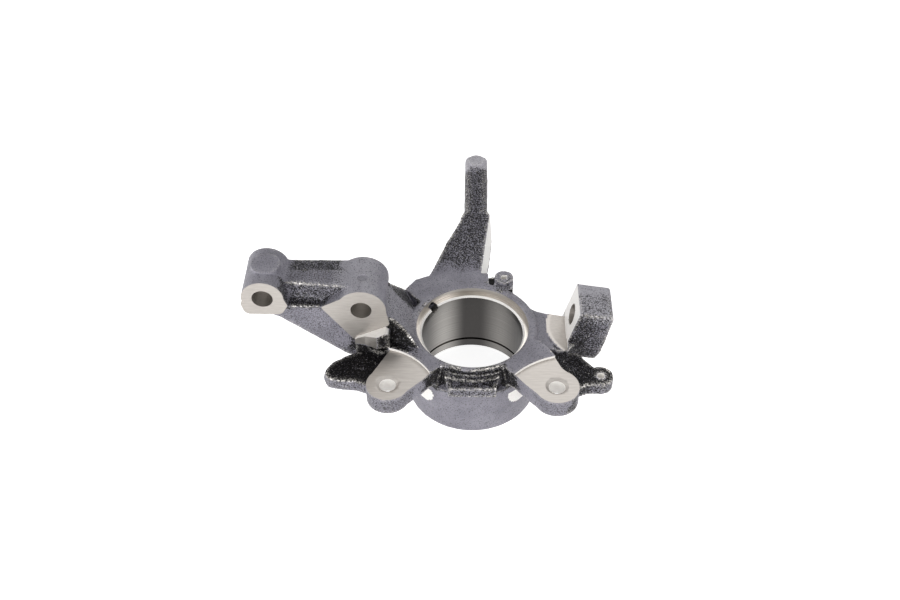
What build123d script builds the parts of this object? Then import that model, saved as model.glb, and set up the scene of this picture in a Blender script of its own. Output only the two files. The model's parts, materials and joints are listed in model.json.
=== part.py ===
"""Front steering knuckle: one iron casting with machined bores, faces and holes.

Frame: +Z runs along the wheel bearing's axis towards the car's middle, and the origin is the
centre of the hub barrel's outboard end face, on which the casting stands.  -X points up the
car to the strut, +X down to the ball joint, -Y to the caliper and +Y to the tie rod.
"""

import os
from math import cos, radians, sin, sqrt, tan

from build123d import *

# ---- Driving dimensions, millimetres and degrees ------------------------------------------
# Corners are written (across, up, corner radius), or (across, up) where they stay sharp.

# How far cast shapes run into one another, a cutter runs past a face or starts before it,
# and a flank runs inside a round rim
overlap = 8.0
overcut = 1.0
cutter_run = 16.0
rim_tuck = 0.25

# Hub barrel, a tapered tube round the wheel bearing
hub_height = 61.0
ring_radius = 46.0
barrel_foot_radius = 46.6
barrel_waist_radius = 47.9
barrel_root_radius = 49.6
barrel_root_flare = 7.0
barrel_foot_chamfer = 1.2

# Bearing seat, read from the outboard end upwards
bearing_diameter = 78.0
bearing_width = 39.0
lead_in = 1.2
circlip_width = 2.0
circlip_depth = 1.8
shoulder_diameter = 72.0
shoulder_width = 6.4
seal_diameter = 79.6
seal_depth = 6.0
seal_chamfer = 1.2

# Flange plate that carries the ears and the arms
plate_thickness = 15.5
plate_edge_round = 1.5

# Caliper ears
ear_span = 114.6
ear_reach = 55.3
left_boss_radius = 14.6
right_boss_radius = 15.2
ear_face_step = 2.0
ear_root = (28.9, 46.3)
ear_root_round = 6.0
left_flank_bearings = (-30.0, 163.0)
left_ear_heel = (-56.7, -22.3)
right_flank_bearings = (216.6, 33.3)
right_flank_hollow = (61.3, -38.8, 12.0)
right_ear_heel = (56.6, -27.7)
right_ear_knee = (48.0, -14.0)
caliper_hole = 11.4
caliper_chamfer_width = 2.2
caliper_chamfer_depth = 1.4
ear_under_cutter_radius = 32.2
left_step_cutter_radius = 45.4
left_step_cutter_offset = (-11.6, -12.1)
right_step_cutter_radius = 59.8
right_step_cutter_offset = (15.9, -31.2)

# Stepped front of the hub between the ears
front_wall_radius = 43.6
front_half_width = 19.6
front_cheek = 0.5
window_run_out = (20.0, 24.0)
collar_foot = 41.5
terrace_rise = 3.6
terrace_tread = 1.35
terrace_inset = 0.8
terrace_count = 3
front_pad_half_width = 16.8
front_pad_reach = 51.0
front_pad_top = 50.2
front_pad_round = 0.8

# Brake shield wings, their corners measured from their tips
wing_drop = 6.0
wing_thickness = 10.0
left_wing_tip = (-95.0, -41.0)
left_wing_edge = (
    (18.0, 20.6, 6.0),
    (9.0, 16.4, 8.0),
    (-2.4, 8.6, 5.0),
    (-6.4, 0.8, 3.5),
    (-4.2, -5.8, 3.0),
    (3.0, -7.6, 3.0),
    (16.0, -8.6, 8.0),
)
left_wing_parting = 4.4
left_wing_draft = 1.5
right_wing_tip = (88.2, -41.4)
right_wing_radius = 8.6
right_wing_flank_bearing = 118.0
right_wing_edge = ((-9.0, -8.6, 4.0), (-15.0, -11.2))
right_wing_shoulder = (-10.5, 15.5, 6.0)
shield_hole = 5.2

# Strut lugs on the upper arm, their corners measured from their bolts
strut_bolt_spacing = 67.0
strut_lean = 8.3
lower_bolt = (-76.2, 91.6)
strut_hole = 14.4
lug_length = 36.0
lower_lug_radius = 17.0
upper_lug_radius = 14.4
upper_lug_foot = 14.2
upper_lug_edge = (
    (-15.3, -5.0),
    (-13.0, -14.2, 5.0),
    (12.0, -14.2, 5.0),
    (16.6, -6.2, 3.0),
    (11.6, 7.0),
    (-10.0, 9.6),
)
lug_pad_radius = 10.2
lug_pad_rise = 1.2
lug_pad_offset = (1.2, 1.4)
clamp_face_edge = (
    (-6.0, -28.0, 1.0),
    (-27.4, 2.5, 1.5),
    (-1.6, 16.8, 3.0),
    (8.9, 15.0, 3.0),
    (15.9, 6.2, 5.0),
    (17.3, -2.8),
)
clamp_face_right_foot = (19.1, -13.8)
clamp_face_left_foot = (-3.5, -24.7)
clamp_foot_round = 3.0
cheek_left = -5.5
cheek_left_drop = 1.8
cheek_nose = ((-5.6, -1.6), (1.4, -2.6), (10.6, -8.4, 3.0), (19.2, -6.4, 3.0))
lug_dimple_radius = 3.6
lug_dimple_depth = 1.6
lug_dimple_offset = (1.0, -3.0)

# Upper arm between the lugs and the hub
arm_front = -16.4
arm_back = 17.2
arm_top = 107.0
arm_underside = 42.0
arm_end = (-58.2, 84.0)
arm_bury = 2.4
panel_heel = (-70.0, 42.0, 12.0)
panel_foot = (-87.4, 46.8, 8.0)
panel_toe = (-133.3, 83.4, 2.0)
scoop_depth = 13.5
scoop_wall = -6.6
scoop_wall_inner = -11.5
scoop_bend = 14.0
scoop_bend_radius = 20.0
scoop_round = 4.0
rear_band_start = 6.6
rear_band_depth = 0.6
gusset_root = 85.0
gusset_front_crest = ((-57.6, 84.6), (-53.4, 81.8), (-50.1, 78.4), (-44.8, 70.8), (-38.2, 58.4))
gusset_back = 15.0
gusset_back_top = (-58.5, 85.4)
gusset_back_foot = (-41.9, 60.4)
gusset_inset = 34.0
gusset_toe_start = -56.0
gusset_toe_tip = (-36.3, -24.1)

# Back plate between the upper arm, the steering arm and the ring
plate_corner = (-49.6, 36.9)
plate_corner_round = 1.5
plate_waist = (-37.3, 22.7)
plate_step = (7.4, 10.8, 2.0)
plate_end = (18.0, 15.4)
plate_side = 6.0

# Ball joint arm and block, in plan from the ball joint's axis
ball_hole = 14.6
ball_axis_height = 69.0
ball_face_distance = 70.0
ball_axis_offset = 4.4
ball_axis_lean = 14.0
ball_block_length = 23.5
ball_block_rise = 15.0
ball_block_front = (-14.6, -19.4)
ball_block_back = (17.8, 11.4)
ball_block_rounds = (1.5, 4.0)
ball_block_belly = (4.0, 8.0, 4.0)
ball_block_top_round = 2.0
ball_block_foot_round = 3.0
lower_arm_top = 57.0
lower_arm_bite = 4.0
lower_arm_back_edge = ((39.0, 20.0), (46.5, 14.8, 12.0), (57.0, 11.8))
lower_arm_front_edge = ((66.0, -24.0, 3.0), (60.0, -25.6), (44.0, -18.0))
lower_arm_corners = (12.6, -15.0)
relief_radius = 110.0
relief_depth = 3.0
relief_length = 13.0
relief_width = 52.0

# Steering arm
tie_rod_distance = 147.0
tie_rod_height = 79.0
tie_rod_offset = 2.0
tie_rod_hole = 12.6
tie_rod_taper = 5.7
eye_radius = 16.4
eye_thickness = 17.4
eye_round = 4.0
eye_pad_radius = 6.3
eye_pad_rise = 1.2
neck_top = (-6.0, 15.2)
neck_foot = (-7.0, -15.0)
arm_shoulder_distance = 104.0
arm_shoulder_height = 80.0
arm_crown = (56.0, 61.0, 16.0)
arm_belly = (98.0, 52.0, 20.0)
arm_heel = (60.0, 42.0, 10.0)
arm_left_edge = ((-33.2, 50.6, 3.0), (-20.0, 79.0, 30.0))
arm_left_shoulders = ((3.4, 8.0), (2.6, 4.0))
arm_right_shoulders = ((2.4, 3.0), (3.6, 10.0, 8.0))
arm_right_edge = ((12.6, 78.0, 20.0), (8.6, 56.5))
arm_root_side = 6.0
stop_face_radius = 25.0
stop_face_stock = 12.0
stop_face_centre = (9.0, 78.0, 71.0)
stop_face_lean = 11.3
stop_face_yaw = 12.1

# Sensor port and bracket boss, the corners measured from the boss
sensor_boss_centre = (23.0, 49.2)
sensor_boss_radius = 7.0
sensor_boss_rise = 1.5
sensor_boss_hole = 4.8
sensor_web_left = ((-9.0, -12.0), (-6.6, -2.0))
sensor_web_right = ((6.8, -1.0), (6.4, -12.0))
sensor_rib_edge = ((-17.4, -12.0), (-16.8, 4.0, 2.0), (-11.6, 7.0, 2.0), (-10.6, -12.0))
sensor_rib_rise = 0.6
sensor_pocket_edge = ((-11.2, -12.0), (-11.2, 5.4), (-6.0, 6.2), (0.0, 5.0), (0.0, -12.0))
sensor_pocket_drop = 4.0
sensor_port_diameter = 7.0
sensor_port_bearing = 139.0
sensor_port_drop = 1.0

# ---- Levels and places that follow from them ----------------------------------------------

seal_seat = hub_height - seal_depth
bearing_stop = seal_seat - shoulder_width
circlip_top = bearing_stop - bearing_width
circlip_bottom = circlip_top - circlip_width
plate_underside = hub_height - plate_thickness
ear_face = hub_height - ear_face_step
wing_top = hub_height - wing_drop
wing_underside = wing_top - wing_thickness
ear_x = ear_span / 2
ring_inside = ring_radius - overlap
lug_front = -lug_length / 2
lug_back = lug_length / 2
scoop_floor = arm_top - scoop_depth
overall_reach = tie_rod_distance + arm_top
upper_bolt = (
    lower_bolt[0] - strut_bolt_spacing * cos(radians(strut_lean)),
    lower_bolt[1] + strut_bolt_spacing * sin(radians(strut_lean)),
)


# ---- Shape helpers ------------------------------------------------------------------------


def outline(*corners):
    """Closed flat face through corners given as (across, up) or (across, up, corner radius)."""
    points = [corner[:2] for corner in corners]
    radii = [corner[2] if len(corner) > 2 else 0 for corner in corners]
    return make_face(FilletPolyline(*points, radius=radii, close=True))


def moved(corners, across, up):
    """Corners measured from a point, moved to where that point is."""
    return [(corner[0] + across, corner[1] + up, *corner[2:]) for corner in corners]


def rim_point(across, up, radius, bearing):
    """Corner just inside a round rim, for a flank that runs into the rim there."""
    tucked = radius - rim_tuck
    return (across + tucked * cos(radians(bearing)), up + tucked * sin(radians(bearing)))


def level_slab(face, low, high):
    """Prism of a plan outline between two levels."""
    return extrude(Pos(0, 0, low) * face, amount=high - low)


def cross_slab(face, front, back):
    """Prism of an outline drawn in X and Z, running along Y from front to back."""
    frame = Plane(origin=(0, back, 0), x_dir=(1, 0, 0), z_dir=(0, -1, 0))
    return extrude(frame * face, amount=back - front)


def side_slab(face, left, right):
    """Prism of an outline drawn in Y and Z, running along X from left to right."""
    frame = Plane(origin=(left, 0, 0), x_dir=(0, 1, 0), z_dir=(1, 0, 0))
    return extrude(frame * face, amount=right - left)


def post(x, y, radius, low, high):
    """Upright cylinder."""
    return level_slab(Pos(x, y) * Circle(radius), low, high)


def cross_post(x, z, radius, front, back):
    """Cylinder running along Y."""
    return cross_slab(Pos(x, z) * Circle(radius), front, back)


def spun(*profile):
    """Solid turned about the bearing axis from (radius, height) corners."""
    return revolve(Plane.XZ * make_face(Polyline(*profile, close=True)), Axis.Z)


def under(solid, a, b, c):
    """Part of a solid that lies below the plane through three points."""
    a, b, c = Vector(*a), Vector(*b), Vector(*c)
    normal = (b - a).cross(c - a)
    if normal.Z < 0:
        normal = -normal
    lid = Plane(origin=a, x_dir=b - a, z_dir=normal)
    return split(solid, bisect_by=lid, keep=Keep.BOTTOM)


# ---- Hub ----------------------------------------------------------------------------------


def hub_barrel():
    """Tapered barrel with its top ring, still solid."""
    return spun(
        (0, 0),
        (barrel_foot_radius - barrel_foot_chamfer, 0),
        (barrel_foot_radius, barrel_foot_chamfer),
        (barrel_waist_radius, plate_underside - barrel_root_flare),
        (barrel_root_radius, plate_underside),
        (barrel_root_radius, plate_underside + plate_edge_round),
        (ring_radius, hub_height - plate_edge_round),
        (ring_radius - plate_edge_round, hub_height),
        (0, hub_height),
    )


def bearing_seat():
    """Stepped bore: lead-in, circlip groove, bearing seat, shoulder and seal seat."""
    seat = bearing_diameter / 2
    shoulder = shoulder_diameter / 2
    seal = seal_diameter / 2
    return spun(
        (0, -overcut),
        (seat + lead_in, -overcut),
        (seat + lead_in, 0),
        (seat, lead_in),
        (seat, circlip_bottom),
        (seat + circlip_depth, circlip_bottom),
        (seat + circlip_depth, circlip_top),
        (seat, circlip_top),
        (seat, bearing_stop),
        (shoulder, bearing_stop),
        (shoulder, seal_seat - seal_chamfer),
        (shoulder + seal_chamfer, seal_seat),
        (seal, seal_seat),
        (seal, hub_height - seal_chamfer),
        (seal + seal_chamfer, hub_height),
        (seal + seal_chamfer, hub_height + overcut),
        (0, hub_height + overcut),
    )


def front_window():
    """Space cut from the ring's front, between the ears, down to the barrel's shoulder."""
    root_x, root_y = ear_root
    cheek_y = sqrt(front_wall_radius**2 - front_half_width**2) + front_cheek
    half = outline(
        (0, -front_wall_radius + overlap),
        (0, -root_y - window_run_out[1]),
        (root_x + window_run_out[0], -root_y - window_run_out[1]),
        (root_x + overcut, -root_y),
        (front_half_width, -cheek_y),
        (front_half_width, -cheek_y + overlap),
    )
    opening = half + mirror(half, Plane.YZ) - Circle(front_wall_radius)
    return level_slab(opening, collar_foot, hub_height + overcut)


def front_terraces():
    """Steps that fall from the rim to the pad, each a slice of a wider ring."""
    steps = []
    for step in range(terrace_count):
        reach = front_wall_radius + (step + 1) * terrace_tread
        top = hub_height - (step + 1) * terrace_rise
        half = front_half_width - step * terrace_inset
        slice_of_ring = Circle(reach) & Pos(0, -reach) * Rectangle(2 * half, 2 * reach)
        steps.append(level_slab(slice_of_ring, collar_foot, top))
    half = front_pad_half_width
    pad = outline(
        (-half, -front_wall_radius + overlap),
        (half, -front_wall_radius + overlap),
        (half, -front_pad_reach, front_pad_round),
        (-half, -front_pad_reach, front_pad_round),
    )
    return steps + [level_slab(pad, collar_foot, front_pad_top)]


# ---- Caliper ears and shield wings --------------------------------------------------------


def left_ear():
    """Ear on the strut side: boss with straight flanks running into the plate."""
    x, y = -ear_x, -ear_reach
    inner, outer = left_flank_bearings
    web = outline(
        (-front_half_width, -ring_inside),
        (-ear_root[0], -ear_root[1], ear_root_round),
        rim_point(x, y, left_boss_radius, inner),
        (x, y),
        rim_point(x, y, left_boss_radius, outer),
        left_ear_heel,
        (left_ear_heel[0], arm_front + overlap),
        (-ring_inside, arm_front + overlap),
    )
    return web + Pos(x, y) * Circle(left_boss_radius)


def right_ear():
    """Ear on the ball joint side, its outer flank hollowed towards the wing."""
    x, y = ear_x, -ear_reach
    inner, outer = right_flank_bearings
    web = outline(
        (front_half_width, -ring_inside),
        (ear_root[0], -ear_root[1], ear_root_round),
        rim_point(x, y, right_boss_radius, inner),
        (x, y),
        rim_point(x, y, right_boss_radius, outer),
        right_flank_hollow,
        right_ear_heel,
        right_ear_knee,
        (ring_inside / 2, right_ear_knee[1] + overlap),
    )
    return web + Pos(x, y) * Circle(right_boss_radius)


def left_wing():
    """Ragged-ended shield wing beside the left ear, drafted from its parting line."""
    edge = moved(left_wing_edge, *left_wing_tip)
    rooted = edge + [
        (-ear_x - overlap, -ear_reach),
        (-ear_x, -ear_reach + overlap),
        (left_ear_heel[0] + overlap, arm_front),
    ]
    plan = outline(*rooted)
    wide = offset(plan, left_wing_draft)
    parting = wing_underside + left_wing_parting
    low = loft([Pos(0, 0, wing_underside) * plan, Pos(0, 0, parting) * wide])
    return low + loft([Pos(0, 0, parting) * wide, Pos(0, 0, wing_top) * plan])


def right_wing():
    """Round-ended shield wing beside the right ear."""
    x, y = right_wing_tip
    lower_edge = moved(right_wing_edge, x, y)
    web = outline(
        rim_point(x, y, right_wing_radius, right_wing_flank_bearing),
        (x + right_wing_shoulder[0], y + right_wing_shoulder[1], right_wing_shoulder[2]),
        (x + right_wing_shoulder[0] - overlap / 2, right_ear_heel[1] + overlap),
        (right_ear_knee[0], right_ear_heel[1] + overlap),
        (right_ear_heel[0], y - right_wing_radius),
        lower_edge[1],
        lower_edge[0],
        (x, y - right_wing_radius + rim_tuck),
        (x, y),
    )
    return level_slab(web + Pos(x, y) * Circle(right_wing_radius), wing_underside, wing_top)


def ear_cuts():
    """Spot faces over and under both ears, with their bolt holes."""
    cuts = []
    steps = (
        (-ear_x, left_step_cutter_radius, left_step_cutter_offset),
        (ear_x, right_step_cutter_radius, right_step_cutter_offset),
    )
    for x, radius, (out, down) in steps:
        y = -ear_reach
        above = hub_height + overcut
        cuts.append(post(x + out, y + down, radius, ear_face, above))
        cuts.append(post(x, y, ear_under_cutter_radius, -overcut, plate_underside))
        cuts.append(post(x, y, caliper_hole / 2, -overcut, above))
        mouth = caliper_hole / 2 + caliper_chamfer_width
        countersink = Cone(caliper_hole / 2, mouth, caliper_chamfer_depth)
        cuts.append(Pos(x, y, ear_face - caliper_chamfer_depth / 2) * countersink)
    return cuts


# ---- Upper arm and strut lugs -------------------------------------------------------------


def upper_arm():
    """Web that climbs from the hub to the two strut lugs."""
    buried = hub_height - arm_bury
    body = outline(
        (-ring_inside, arm_underside),
        panel_heel,
        panel_foot,
        panel_toe,
        (upper_bolt[0], upper_bolt[1] - upper_lug_foot),
        (upper_bolt[0], arm_top),
        (lower_bolt[0], arm_top),
        arm_end,
        (arm_end[0], buried),
        (-ring_inside, buried),
    )
    arm = cross_slab(body, arm_front, arm_back)
    return arm - arm_scoop() - rear_band()


def arm_scoop():
    """Hollow in the arm's front, above the sloping panel and between the lugs."""
    left, right = upper_bolt[0], lower_bolt[0]
    plan = outline(
        (left, arm_front - overcut),
        (right, arm_front - overcut),
        (right, scoop_wall_inner),
        (left + scoop_bend, scoop_wall, scoop_bend_radius),
        (left, scoop_wall),
    )
    hollow = level_slab(plan, scoop_floor, arm_top + overcut)
    wall_foot = hollow.edges().group_by(Axis.Z)[0].sort_by(Axis.Y)[-1]
    return fillet(wall_foot, scoop_round)


def rear_band():
    """Shallow band along the arm's top edge, at the back."""
    section = outline(
        (rear_band_start, arm_top - rear_band_depth),
        (arm_back + overcut, arm_top - rear_band_depth),
        (arm_back + overcut, arm_top + overcut),
        (rear_band_start - rear_band_depth, arm_top + overcut),
    )
    return side_slab(section, upper_bolt[0], lower_bolt[0])


def gusset():
    """Sloping brace from the lower lug to the ring, its back crest a straight line."""
    steps = len(gusset_front_crest) - 1
    (top_x, top_z), (foot_x, foot_z) = gusset_back_top, gusset_back_foot
    back_crest = [
        (top_x + (foot_x - top_x) * step / steps, top_z + (foot_z - top_z) * step / steps)
        for step in range(steps + 1)
    ]
    left = arm_end[0] - overlap / 2
    ends = []
    for crest, y in ((gusset_front_crest, arm_front - overcut), (back_crest, gusset_back)):
        corners = [(left, gusset_root), *crest, (-gusset_inset, crest[-1][1])]
        corners += [(-gusset_inset, arm_underside), (left, arm_underside)]
        ends.append(make_face(Polyline(*[(x, y, z) for x, z in corners], close=True)))
    return loft(ends, ruled=True)


def gusset_toe():
    """Wedge in front of the gusset, so that its foot swings forward onto the ring."""
    front = arm_front - overcut
    tip_x, tip_y = gusset_toe_tip
    (knee_x, knee_z), (foot_x, foot_z) = gusset_front_crest[-2:]
    share = (knee_z - hub_height) / (knee_z - foot_z)
    landing = knee_x + share * (foot_x - knee_x)
    plan = outline(
        (gusset_toe_start, front),
        (tip_x, tip_y),
        (landing, front),
        (landing, front + overcut),
        (gusset_toe_start, front + overcut),
    )
    start, tip = (gusset_toe_start, front, hub_height), (tip_x, tip_y, hub_height)
    knee = (knee_x, front, knee_z)
    block = under(level_slab(plan, hub_height - overcut, knee_z), start, tip, knee)
    return under(block, knee, tip, (landing, front, hub_height))


def rear_web():
    """Web behind the gusset, falling from the lower lug to the back plate's corner."""
    (top_x, top_z), (foot_x, foot_z) = gusset_back_top, gusset_back_foot
    x, y = plate_corner
    plan = outline(
        (top_x - overlap, gusset_back),
        (-gusset_inset, gusset_back),
        plate_waist,
        (x, y, plate_corner_round),
        (arm_end[0] - overcut, arm_back),
    )
    block = level_slab(plan, arm_underside, arm_top)
    crest = (top_x, gusset_back, top_z), (foot_x, gusset_back, foot_z)
    return under(block, *crest, (x, y, hub_height))


def upper_lug():
    """Domed lug with a flat foot and a round pad on top."""
    x, z = upper_bolt
    dome = Pos(x, z) * Circle(upper_lug_radius)
    foot = outline(*moved(upper_lug_edge, x, z))
    lug = cross_slab(dome + foot, lug_front, lug_back)
    pad_x, pad_y = lug_pad_offset
    pad_top = z + upper_lug_radius + lug_pad_rise
    return lug + post(x + pad_x, pad_y, lug_pad_radius, z, pad_top)


def lower_lug():
    """Round lug with a kite-shaped clamping face reaching down and across the arm."""
    x, z = lower_bolt
    lug = cross_post(x, z, lower_lug_radius, lug_front, lug_back)
    right_foot = (*clamp_face_right_foot, clamp_foot_round)
    left_foot = (*clamp_face_left_foot, clamp_foot_round)
    kite = outline(*moved((*clamp_face_edge, right_foot, left_foot), x, z))
    return lug + cross_slab(kite, lug_front, scoop_wall + overcut)


def lug_cheek():
    """Cheek left in front of the lower lug where the clamp's cutter stopped."""
    x, z = lower_bolt
    (right_x, right_z), (left_x, left_z) = clamp_face_right_foot, clamp_face_left_foot
    side = outline(
        (x + cheek_left, z + left_z - cheek_left_drop),
        (x + left_x, z + left_z),
        (x + right_x, z + right_z, clamp_foot_round),
        (x + right_x, arm_underside),
        (x + cheek_left, arm_underside),
    )
    plan = outline(
        *moved(cheek_nose, x, lug_front),
        (x + cheek_nose[-1][0], lug_front + overlap / 2),
        (x + cheek_nose[0][0], lug_front + overlap / 2),
    )
    nose = cross_slab(side, lug_front - cutter_run, lug_front + overlap)
    return nose & level_slab(plan, 0, overall_reach)


def strut_cuts():
    """Strut bolt holes and the small dimple on the lower lug."""
    cuts = []
    for x, z in (upper_bolt, lower_bolt):
        cuts.append(cross_post(x, z, strut_hole / 2, lug_front - cutter_run, lug_back + overcut))
    x, z = lower_bolt
    out, along = lug_dimple_offset
    crown = z + lower_lug_radius
    dimple_floor = crown - lug_dimple_depth
    cuts.append(post(x + out, along, lug_dimple_radius, dimple_floor, crown + overcut))
    return cuts


# ---- Ball joint arm -----------------------------------------------------------------------


def ball_frame():
    """Frame at the ball joint hole's outer mouth, with its z axis along the hole."""
    lean = radians(ball_axis_lean)
    return Plane(
        origin=(ball_face_distance, ball_axis_offset, ball_axis_height),
        x_dir=(0, 1, 0),
        z_dir=(cos(lean), 0, -sin(lean)),
    )


def lower_arm():
    """Flat arm from the ring to the ball joint block."""
    y = ball_axis_offset
    back, front = lower_arm_corners
    end = ball_face_distance + lower_arm_bite
    plan = outline(
        (ring_inside, y + ring_inside / 2),
        *moved(lower_arm_back_edge, 0, y),
        (end, y + back),
        (end, y + front),
        *moved(lower_arm_front_edge, 0, y),
        (ring_inside, y - ring_inside / 2),
    )
    return level_slab(plan, arm_underside, lower_arm_top)


def ball_block():
    """Upright block that holds the ball joint's pin."""
    slope = tan(radians(ball_axis_lean))
    top = ball_axis_height + ball_block_rise
    foot = arm_underside
    face_top = ball_face_distance + (top - ball_axis_height) * slope
    face_foot = ball_face_distance + (foot - ball_axis_height) * slope
    back_top = face_top + ball_block_length
    back_foot = face_foot + ball_block_length
    out, rise, belly_round = ball_block_belly
    side = outline(
        (face_foot, foot),
        (face_top, top),
        (back_top, top, ball_block_top_round),
        (back_foot + out, foot + rise, belly_round),
        (back_foot, foot, ball_block_foot_round),
    )
    left, right = face_foot - overcut, back_top + overcut
    plan = outline(
        (left, ball_axis_offset + ball_block_front[0]),
        (right, ball_axis_offset + ball_block_front[1], ball_block_rounds[0]),
        (right, ball_axis_offset + ball_block_back[1], ball_block_rounds[1]),
        (left, ball_axis_offset + ball_block_back[0]),
    )
    prism = cross_slab(side, -overall_reach, overall_reach)
    return prism & level_slab(plan, 0, overall_reach)


def ball_cuts():
    """Pin hole along the leaning axis, and the relief its facing cutter leaves in the arm."""
    start = ball_frame().offset(-relief_length)
    through = relief_length + 2 * ball_block_length
    hole = extrude(start * Circle(ball_hole / 2), amount=through)
    drop = (ball_axis_height - lower_arm_top + relief_depth) / cos(radians(ball_axis_lean))
    bow = Pos(0, relief_radius - drop) * Circle(relief_radius)
    window = Rectangle(relief_width, 2 * drop + overcut)
    return [hole, extrude(start * (bow & window), amount=relief_length)]


# ---- Steering arm -------------------------------------------------------------------------


def steering_arm():
    """Lever whose side view and plan are cut from one another, with a round eye."""
    x, y, z = tie_rod_offset, tie_rod_distance, tie_rod_height
    half = eye_thickness / 2
    side = outline(
        (ring_inside, hub_height),
        arm_crown,
        (arm_shoulder_distance, arm_shoulder_height),
        (y + neck_top[0], z + neck_top[1]),
        (y, z),
        (y + neck_foot[0], z + neck_foot[1]),
        arm_belly,
        arm_heel,
        (ring_inside, arm_underside),
    )
    shank = side_slab(side + Pos(y, z) * Circle(eye_radius), x - half, x + half)
    flanks = shank.faces().sort_by(Axis.X)
    rims = flanks[0].edges() + flanks[-1].edges()
    outer_rims = rims.filter_by(lambda edge: edge.center().Y > arm_shoulder_distance + overlap)
    shank = fillet(outer_rims, eye_round)
    plan = outline(
        (arm_left_edge[0][0], ring_inside),
        *arm_left_edge,
        *[(x - half - out, arm_shoulder_distance - back) for out, back in arm_left_shoulders],
        (x - half, arm_shoulder_distance),
        (x + half, arm_shoulder_distance),
        *[
            (x + half + shoulder[0], arm_shoulder_distance - shoulder[1], *shoulder[2:])
            for shoulder in arm_right_shoulders
        ],
        *arm_right_edge,
        (arm_root_side, ring_inside),
    )
    prism = side_slab(side, -overall_reach, overall_reach)
    lever = prism & level_slab(plan, 0, overall_reach)
    return shank + lever + post(x, y, eye_pad_radius, z, z + eye_radius + eye_pad_rise)


def steering_cuts():
    """Tapered tie rod hole and the flat for the steering stop."""
    x, y, z = tie_rod_offset, tie_rod_distance, tie_rod_height
    small = tie_rod_hole / 2
    large = small + eye_thickness * tan(radians(tie_rod_taper))
    taper = Pos(x, y, z) * Rot(0, 90, 0) * Cone(small, large, eye_thickness)
    facing = Vector(1, -tan(radians(stop_face_yaw)), tan(radians(stop_face_lean)))
    flat = Plane(origin=stop_face_centre, x_dir=(0, 0, 1), z_dir=facing.normalized())
    return [taper, extrude(flat * Circle(stop_face_radius), amount=stop_face_stock)]


# ---- Back of the hub ----------------------------------------------------------------------


def back_plate():
    """Plate between the upper arm, the steering arm and the ring."""
    x, y = plate_corner
    step_x, step_y, step_round = plate_step
    plan = outline(
        (-ring_inside, arm_back),
        plate_waist,
        (x, y, plate_corner_round),
        (x + step_x, y + step_y, step_round),
        (x + plate_end[0], y + plate_end[1]),
        (plate_side, arm_crown[0]),
        (plate_side, ring_inside),
        (0, 0),
    )
    return level_slab(plan, plate_underside, hub_height)


def sensor_boss():
    """Bracket boss standing off the ring, with the rib and the shallow pocket beside it."""
    x, y = sensor_boss_centre
    left, right = moved(sensor_web_left, x, y), moved(sensor_web_right, x, y)
    web = outline(*left, (x, y), *right)
    rib = outline(*moved(sensor_rib_edge, x, y))
    boss_top = hub_height + sensor_boss_rise
    body = level_slab(web, plate_underside, hub_height)
    body += post(x, y, sensor_boss_radius, plate_underside, boss_top)
    body += level_slab(rib, plate_underside, hub_height + sensor_rib_rise)
    pocket = outline(*moved(sensor_pocket_edge, x, y))
    return body + level_slab(pocket, plate_underside, hub_height - sensor_pocket_drop)


def small_cuts():
    """Sensor port through the ring, bracket hole and shield screw hole."""
    x, y = sensor_boss_centre
    boss_top = hub_height + sensor_boss_rise
    bracket = post(x, y, sensor_boss_hole / 2, plate_underside - overcut, boss_top + overcut)
    x, y = right_wing_tip
    screw = post(x, y, shield_hole / 2, wing_underside - overcut, wing_top + overcut)
    port_frame = Plane(
        origin=(0, 0, seal_seat - sensor_port_drop),
        x_dir=(0, 0, 1),
        z_dir=Vector(1, 0, 0).rotate(Axis.Z, sensor_port_bearing),
    )
    inside = port_frame.offset(shoulder_diameter / 2 - 2 * overcut)
    port = extrude(inside * Circle(sensor_port_diameter / 2), amount=bearing_width)
    return [bracket, screw, port]


# ---- Casting ------------------------------------------------------------------------------


def knuckle():
    """Joins the cast shapes, then takes the machined cuts from them."""
    ears = level_slab(left_ear(), plate_underside, hub_height)
    ears += level_slab(right_ear(), plate_underside, hub_height)
    blank = hub_barrel() + ears + left_wing() + right_wing() - front_window()
    blank += front_terraces()
    blank += [upper_arm(), gusset(), gusset_toe(), upper_lug(), lower_lug(), lug_cheek()]
    blank += [lower_arm(), ball_block()]
    blank += [steering_arm(), back_plate(), rear_web(), sensor_boss()]
    machined = [bearing_seat(), *ear_cuts(), *strut_cuts()]
    machined += [*ball_cuts(), *steering_cuts(), *small_cuts()]
    return blank - machined


os.makedirs("parts", exist_ok=True)
casting = knuckle()
print("solids", len(casting.solids()), "volume", round(casting.volume), "mm3")
export_step(casting, "parts/knuckle_casting.step")
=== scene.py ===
# %% [markdown]
# # A steering knuckle
# A steering knuckle carries a car's front wheel.  It is cast in ductile iron, and then only
# the places where something fits are machined.  The lesson builds its looks on the measured
# CAD model: the shape stays, and the skin of the casting and the cut faces are added.
#
# # Load the frame
# The CAD model comes first, because the mounts' places and sizes below are read from its record.
# The box round it is measured and printed, and its lowest point sets the floor's height.

# %% Load the CAD model
import json
import math

import bmesh
import bpy
import numpy as np
from mathutils import Matrix, Vector


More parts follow.
